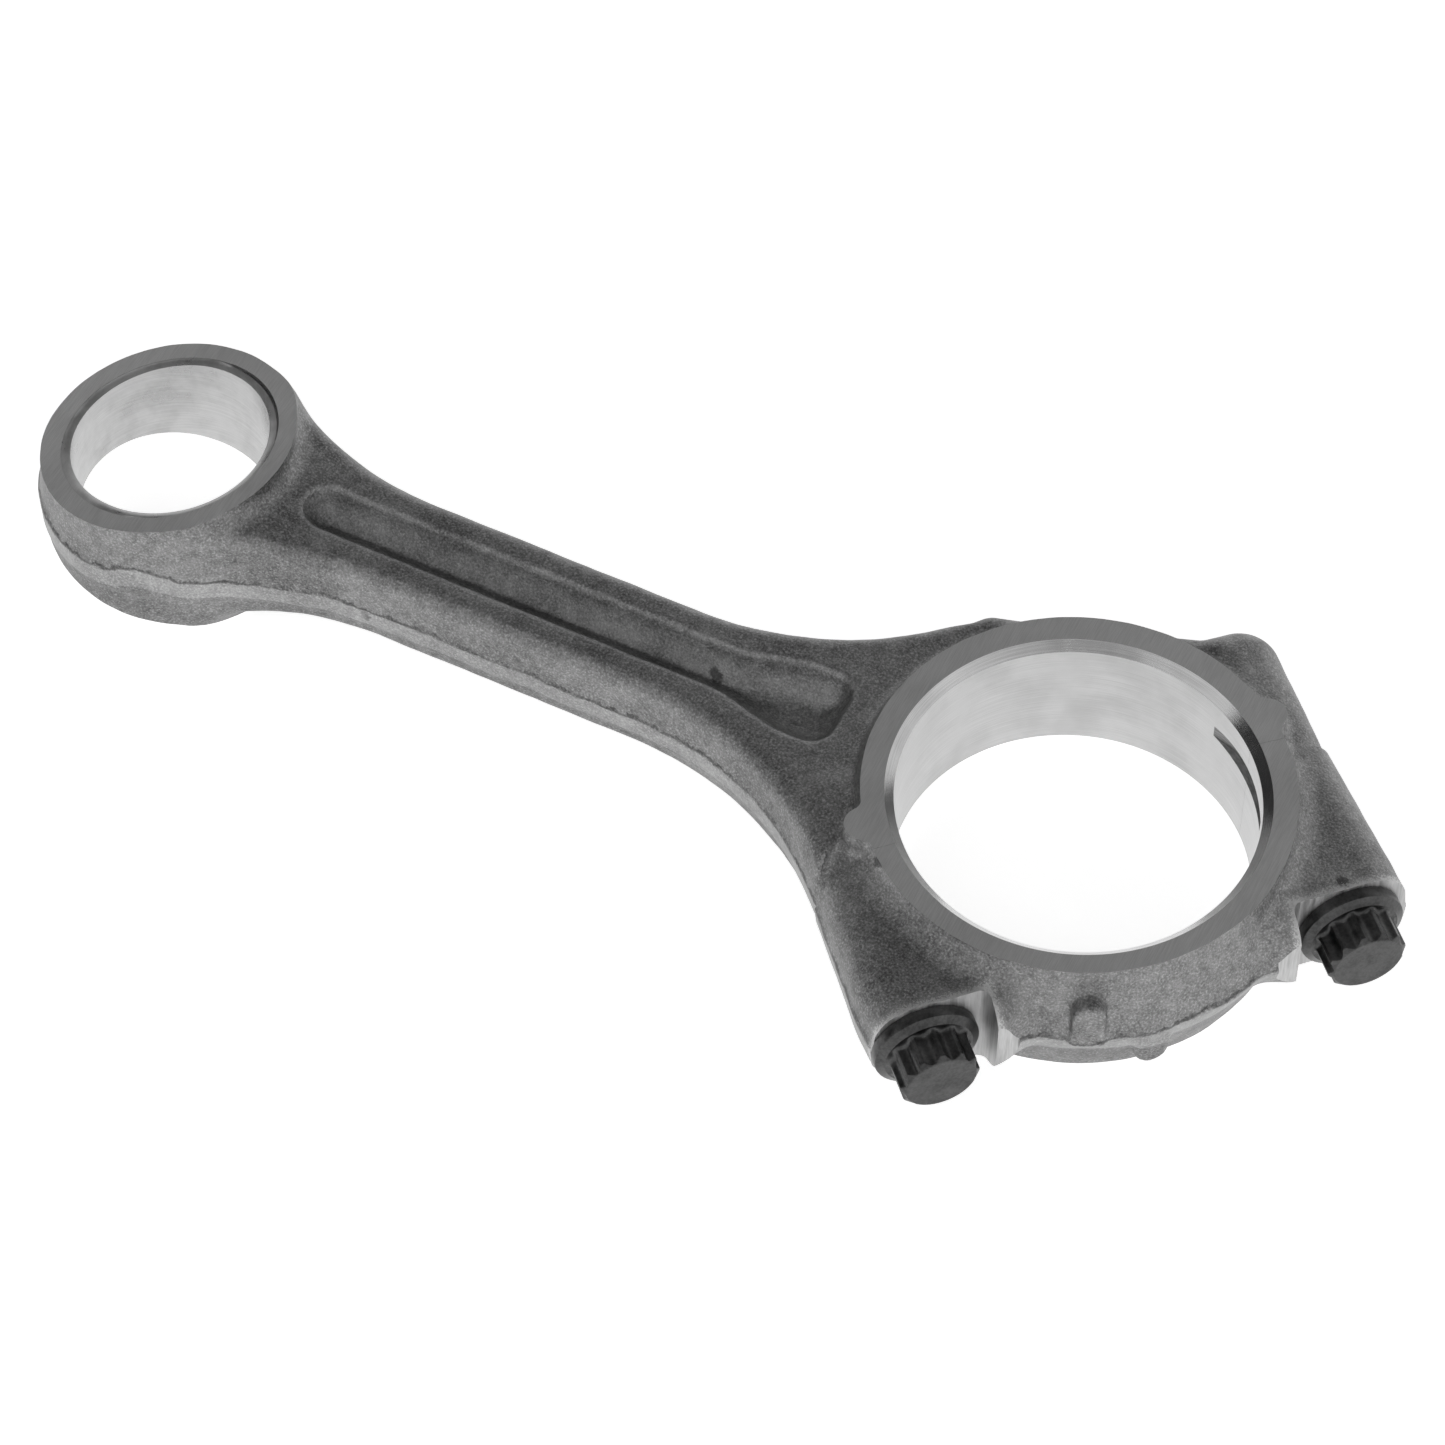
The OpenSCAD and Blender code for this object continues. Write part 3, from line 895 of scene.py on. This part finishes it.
def forged_skin(name):
    """Shot-blasted forging scale: speckled grain, cloudy patches, a trimmed band, and a dark line of painted
    shade along the flash line's step.
    """
    f = Finish(name, metallic=1.0, roughness=0.5)
    grain = f.noise(2100, 3.0, 0.65)
    mid = f.noise(420, 3.0, 0.6)
    wide = f.noise(45, 3.0, 0.55)
    above = f.node("ShaderNodeAttribute", attribute_name="above_flash").outputs["Fac"]
    # Painted shade: a ragged dark line, in patches, along the step at the top of the trimmed flash band.
    ragged = f.math("ADD", above, f.span(mid, 0.3, 0.7, -0.45, 0.45))
    line = f.math("MULTIPLY", f.span(ragged, -0.55, -0.1), f.span(ragged, 0.55, 0.1))
    line = f.math("MULTIPLY", line, f.span(wide, 0.3, 0.55))
    trimmed = f.math("MULTIPLY", f.span(above, -0.2, -0.6), f.span(above, -5.6, -5.0))
    tone = f.math("ADD", f.span(wide, 0.3, 0.7, 0.24, 0.34), f.span(mid, 0.3, 0.7, -0.04, 0.04))
    speck = f.span(grain, 0.56, 0.70, 0.0, 0.14)
    tone = f.math("ADD", f.math("ADD", tone, speck), f.span(grain, 0.33, 0.67, -0.11, 0.08))
    tone = f.math("ADD", tone, f.math("MULTIPLY", trimmed, 0.10))
    # The painted shade of the flash line's step darkens the tone by up to a half.
    tone = f.math("MULTIPLY", tone, f.math("SUBTRACT", 1.0, f.math("MULTIPLY", line, 0.5)))
    spot = f.node("ShaderNodeTexVoronoi", {"Vector": f.place, "Scale": 75.0}).outputs["Distance"]
    ragged_spot = f.math("ADD", spot, f.span(mid, 0.3, 0.7, 0.0, 0.12))
    pit = f.math("MULTIPLY", f.span(ragged_spot, 0.2, 0.12), f.span(wide, 0.5, 0.6))
    tone = f.math("MULTIPLY", tone, f.math("SUBTRACT", 1.0, f.math("MULTIPLY", pit, 0.6)))
    from_seat = f.node("ShaderNodeAttribute", attribute_name="from_seat").outputs["Fac"]
    burr = f.span(f.math("ADD", from_seat, f.span(grain, 0.35, 0.65, -0.9, 0.9)), 1.3, 0.6)
    f.grey(f.math("ADD", f.math("MULTIPLY", tone, 0.86), f.math("MULTIPLY", burr, 0.3)))
    rough = f.span(grain, 0.3, 0.7, 0.42, 0.6)
    f.feed("Roughness", f.math("SUBTRACT", rough, f.math("MULTIPLY", trimmed, 0.08)))
    f.feed("Normal", f.bump(mid, 0.22, 0.5, f.bump(grain, 0.10, 0.8)))
    return f.material


def ground_face(name):
    """Ground flat: fine straight grinding lines over soft cloudy tone."""
    f = Finish(name, metallic=1.0, roughness=0.33)
    lines = f.noise(1.0, 3.0, 0.7, f.mapped((5200, 160, 1), (0, 0, math.radians(27))))
    cloud = f.noise(38, 2.0)
    f.grey(f.math("ADD", f.span(cloud, 0.3, 0.7, 0.56, 0.64), f.span(lines, 0.3, 0.7, -0.06, 0.06)))
    f.feed("Roughness", f.span(lines, 0.3, 0.7, 0.28, 0.38))
    f.feed("Normal", f.bump(lines, 0.01, 0.5))
    return f.material


def bored_face(name, tone, rough):
    """Bored or turned steel: fine lines that run round the axis."""
    f = Finish(name, metallic=1.0, roughness=rough)
    lines = f.noise(1.0, 3.0, 0.7, f.mapped((60, 60, 6500)))
    cloud = f.noise(90, 3.0)
    shade = f.span(cloud, 0.3, 0.7, tone - 0.05, tone + 0.05)
    f.grey(f.math("ADD", shade, f.span(lines, 0.3, 0.7, -0.05, 0.05)))
    f.feed("Roughness", f.span(cloud, 0.3, 0.7, rough - 0.05, rough + 0.05))
    f.feed("Normal", f.bump(lines, 0.012, 0.5))
    return f.material


def milled_face(name):
    """Milled steel at the bolt seats and the wall beside them: bright, with coarse cutter marks."""
    f = Finish(name, metallic=1.0, roughness=0.4)
    lines = f.noise(1.0, 3.0, 0.7, f.mapped((900, 900, 70)))
    f.grey(f.span(lines, 0.25, 0.75, 0.36, 0.66))
    f.feed("Roughness", f.span(lines, 0.3, 0.7, 0.45, 0.65))
    f.feed("Normal", f.bump(lines, 0.05, 0.6))
    return f.material


def broken_face(name):
    """Fracture face: bright crystalline grain."""
    f = Finish(name, metallic=1.0, roughness=0.45)
    crystal = f.node("ShaderNodeTexVoronoi", {"Vector": f.place, "Scale": 1300.0}).outputs["Distance"]
    mid = f.noise(500, 3.0)
    f.grey(f.math("ADD", f.span(crystal, 0.0, 0.7, 0.30, 0.50), f.span(mid, 0.3, 0.7, -0.06, 0.06)))
    f.feed("Roughness", f.span(crystal, 0.0, 0.6, 0.35, 0.6))
    f.feed("Normal", f.bump(crystal, 0.15, 0.7))
    return f.material


def painted_shade_notch_milling(name):
    """Milling of the tang notch, its colour darkened as painted shade."""
    f = Finish(name, metallic=1.0, roughness=0.5)
    lines = f.noise(1.0, 2.0, 0.6, f.mapped((400, 400, 2500)))
    f.grey(f.span(lines, 0.3, 0.7, 0.2, 0.32))
    f.feed("Normal", f.bump(lines, 0.02, 0.5))
    return f.material


def bush_face(name):
    """Satin bearing metal, almost neutral grey, with faint lines round the bore."""
    f = Finish(name, metallic=1.0, roughness=0.3)
    lines = f.noise(1.0, 3.0, 0.7, f.mapped((70, 70, 3800)))
    cloud = f.noise(120, 4.0, 0.6)
    f.grey(f.math("ADD", f.span(cloud, 0.3, 0.7, 0.44, 0.58), f.span(lines, 0.3, 0.7, -0.04, 0.04)))
    f.feed("Roughness", f.span(cloud, 0.3, 0.7, 0.26, 0.38))
    f.feed("Normal", f.bump(lines, 0.008, 0.5))
    return f.material


def black_oxide(name):
    """Blackened bolt steel with slight wear and forging texture."""
    f = Finish(name, metallic=1.0, roughness=0.35)
    fine = f.noise(1600, 3.0, 0.6)
    mid = f.noise(260, 3.0, 0.6)
    f.grey(f.math("ADD", f.span(mid, 0.3, 0.7, 0.052, 0.09), f.span(fine, 0.3, 0.7, -0.012, 0.012)))
    f.feed("Roughness", f.span(mid, 0.3, 0.7, 0.28, 0.42))
    f.feed("Normal", f.bump(mid, 0.06, 0.4, f.bump(fine, 0.015, 0.5)))
    return f.material


# ---------------------------------------------------------------- the set

def floor(low_z):
    """A plain pale floor, glowing a little like a light table, so shadows on it stay faint."""
    f = Finish("pale_floor", metallic=0.0, roughness=0.9, colour=(0.82, 0.82, 0.82))
    f.shader.inputs["Specular IOR Level"].default_value = 0.0
    f.shader.inputs["Emission Color"].default_value = (1, 1, 1, 1)
    f.shader.inputs["Emission Strength"].default_value = 0.74
    sides, radius = 96, 3500.0
    rim = ring(radius, circle(sides), low_z / MM)
    new_object("floor", rim, [tuple(range(sides))], f.material)


def sky():
    """Soft studio surroundings: bright up to 30 degrees above the horizon, and dim from about 40."""
    world = bpy.data.worlds.new("studio")
    bpy.context.scene.world = world
    world.use_nodes = True
    tree = world.node_tree
    direction = tree.nodes.new("ShaderNodeTexCoord").outputs["Generated"]
    split = tree.nodes.new("ShaderNodeSeparateXYZ")
    tree.links.new(direction, split.inputs[0])
    gradient = tree.nodes.new("ShaderNodeValToRGB")
    tree.links.new(split.outputs["Z"], gradient.inputs[0])
    stops = gradient.color_ramp.elements
    stops[0].position, stops[0].color = 0.0, (0.84, 0.84, 0.84, 1)
    stops[1].position, stops[1].color = 1.0, (0.18, 0.18, 0.18, 1)
    for height, level in ((0.5, 0.88), (0.66, 0.30)):
        stops.new(height).color = (level, level, level, 1)
    tree.links.new(gradient.outputs[0], tree.nodes["Background"].inputs["Color"])


def card(name, azimuths, elevations, distance, shade, glow=0.0):
    """A plain card out of the picture for bright faces to reflect, its corners given in degrees."""
    f = Finish(name, metallic=0.0, roughness=0.9, colour=(shade, shade, shade))
    f.shader.inputs["Emission Color"].default_value = (1, 1, 1, 1)
    f.shader.inputs["Emission Strength"].default_value = glow
    corners = []
    for azimuth, elevation in zip((*azimuths, *azimuths[::-1]), np.repeat(elevations, 2)):
        a, e = math.radians(azimuth), math.radians(elevation)
        corners.append((math.cos(e) * math.cos(a), math.cos(e) * math.sin(a), math.sin(e)))
    new_object(name, distance * np.array(corners), [(0, 1, 2, 3)], f.material)


# ---------------------------------------------------------------- build

LOOKS = {
    "skin": forged_skin("forged_skin"),
    "ground": ground_face("ground_face"),
    "turned": bored_face("turned_chamfer", 0.55, 0.13),
    "bore": bored_face("bored_wall", 0.53, 0.33),
    "milled": milled_face("milled_seat"),
    "broken": broken_face("broken_face"),
    "pit": painted_shade_notch_milling("notch_painted_shade"),
}

def forging(name, field, low, high, machine):
    """One forging of its field inside the box from low to high, machined but not yet parted at the joint."""
    piece = forging_mesh(name, field, low, high, LOOKS["skin"])
    face_machining(piece, LOOKS)
    machine(piece, LOOKS)
    return piece


rod = forging("rod_forging", rod_field, *ROD_BOX, rod_machining)
boolean(rod, fracture_slab(LOOKS["broken"], 0.0))
cap = forging("cap_forging", cap_field, *CAP_BOX, cap_machining)
boolean(cap, fracture_slab(LOOKS["broken"], JOINT_GAP), "INTERSECT")
for piece, body, node, slot in (
    (rod, "rod", "rod_body", "forged_steel"),
    (cap, "cap", "big_end_cap", "forged_steel_cap"),
):
    finish_surface(piece)
    mark_flash(piece)
    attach(piece, body)
    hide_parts(node)

bush(bush_face("bush_end"), bush_face("bush_bore"))
oxide = black_oxide("black_oxide")
for side, end, turn_degrees in ((1, "toe", 4), (-1, "heel", 17)):
    bolt("flange_bolt_" + end, side, turn_degrees, "bolt_" + end, oxide)

floor(CAD_BOX[0].z)
sky()
card("black_card", (155, 213), (-0.5, 23), 1700, 0.03)
card("grey_card", (117, 170), (24, 45), 1900, 0.12)
card("white_card", (235, 305), (40, 66), 1800, 0.8, 0.65)
bpy.context.scene.view_settings.view_transform = "Standard"
